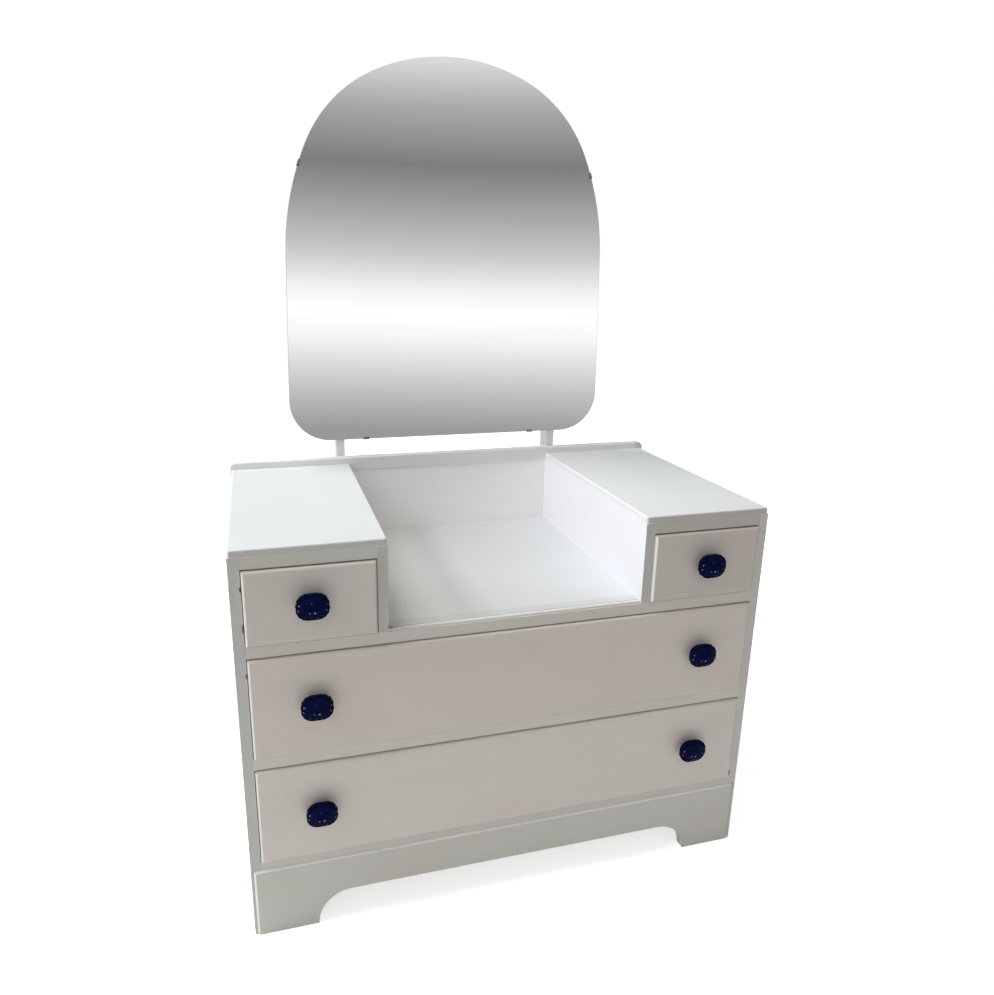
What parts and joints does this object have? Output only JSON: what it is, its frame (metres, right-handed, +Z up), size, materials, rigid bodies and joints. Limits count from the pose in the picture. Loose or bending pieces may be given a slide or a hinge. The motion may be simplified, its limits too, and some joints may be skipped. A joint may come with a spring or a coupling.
{
  "type": "dressing table",
  "caption": "White-painted dressing table with drawers, a sunken well between two raised pedestals, an arched frameless mirror on posts and blue cut-glass knobs.",
  "frame": {"origin": "on the floor, under the middle of the whole bounding box", "axes": "+Z up, -Y to the front, where the drawers open, +X to the right of someone facing the mirror"},
  "size_m": [0.922, 0.5608, 1.4755],
  "materials": {
    "white_paint": "hand-painted white, satin",
    "bare_wood": "bare softwood",
    "plywood": "bare plywood",
    "backboard": "stained plywood",
    "blue_glass": "cut and polished",
    "silvered_glass": "polished, silvered",
    "clip_steel": "darkened",
    "screw_steel": "zinc plated"
  },
  "bodies": {
    "carcass": {"back_panel": "white_paint", "back_panel_nails": "screw_steel", "bottom_rail_front": "white_paint", "bottom_rail_rear": "bare_wood", "bottom_runners": "bare_wood", "drawer_stops": "bare_wood", "gallery_board": "white_paint", "inner_side_left": "white_paint", "inner_side_right": "white_paint", "mid_rail_front": "white_paint", "mid_rail_rear": "bare_wood", "mid_runners": "bare_wood", "mirror_backboard": "backboard", "mirror_board_screws": "screw_steel", "mirror_clip_screws": "screw_steel", "mirror_clips": "clip_steel", "mirror_glass": "silvered_glass", "mirror_post_left": "white_paint", "mirror_post_right": "white_paint", "plinth_board": "white_paint", "plinth_glue_blocks": "bare_wood", "post_screws": "screw_steel", "side_left": "white_paint", "side_right": "white_paint", "top_kickers": "bare_wood", "top_left": "white_paint", "top_rail_left": "white_paint", "top_rail_right": "white_paint", "top_rear_rails": "bare_wood", "top_right": "white_paint", "upper_rail_front": "white_paint", "upper_rail_rear": "bare_wood", "upper_runners": "bare_wood", "well_back": "white_paint", "well_floor": "white_paint", "well_lipping": "white_paint"},
    "small_left_drawer": {"small_left_back": "bare_wood", "small_left_bottom": "plywood", "small_left_front": "white_paint", "small_left_knob": "blue_glass", "small_left_knob_screw": "screw_steel", "small_left_sides": "bare_wood"},
    "small_right_drawer": {"small_right_back": "bare_wood", "small_right_bottom": "plywood", "small_right_front": "white_paint", "small_right_knob": "blue_glass", "small_right_knob_screw": "screw_steel", "small_right_sides": "bare_wood"},
    "long_upper_drawer": {"long_upper_back": "bare_wood", "long_upper_bottom": "plywood", "long_upper_front": "white_paint", "long_upper_knob_screws": "screw_steel", "long_upper_knobs": "blue_glass", "long_upper_sides": "bare_wood"},
    "long_lower_drawer": {"long_lower_back": "bare_wood", "long_lower_bottom": "plywood", "long_lower_front": "white_paint", "long_lower_knob_screws": "screw_steel", "long_lower_knobs": "blue_glass", "long_lower_sides": "bare_wood"}
  },
  "joints": [
    {"name": "small_left_slide", "type": "slide", "parent": "carcass", "child": "small_left_drawer", "axis": [0, -1, 0], "range_m": [0, 0.3]},
    {"name": "small_right_slide", "type": "slide", "parent": "carcass", "child": "small_right_drawer", "axis": [0, -1, 0], "range_m": [0, 0.3]},
    {"name": "long_upper_slide", "type": "slide", "parent": "carcass", "child": "long_upper_drawer", "axis": [0, -1, 0], "range_m": [0, 0.3]},
    {"name": "long_lower_slide", "type": "slide", "parent": "carcass", "child": "long_lower_drawer", "axis": [0, -1, 0], "range_m": [0, 0.3]}
  ]
}
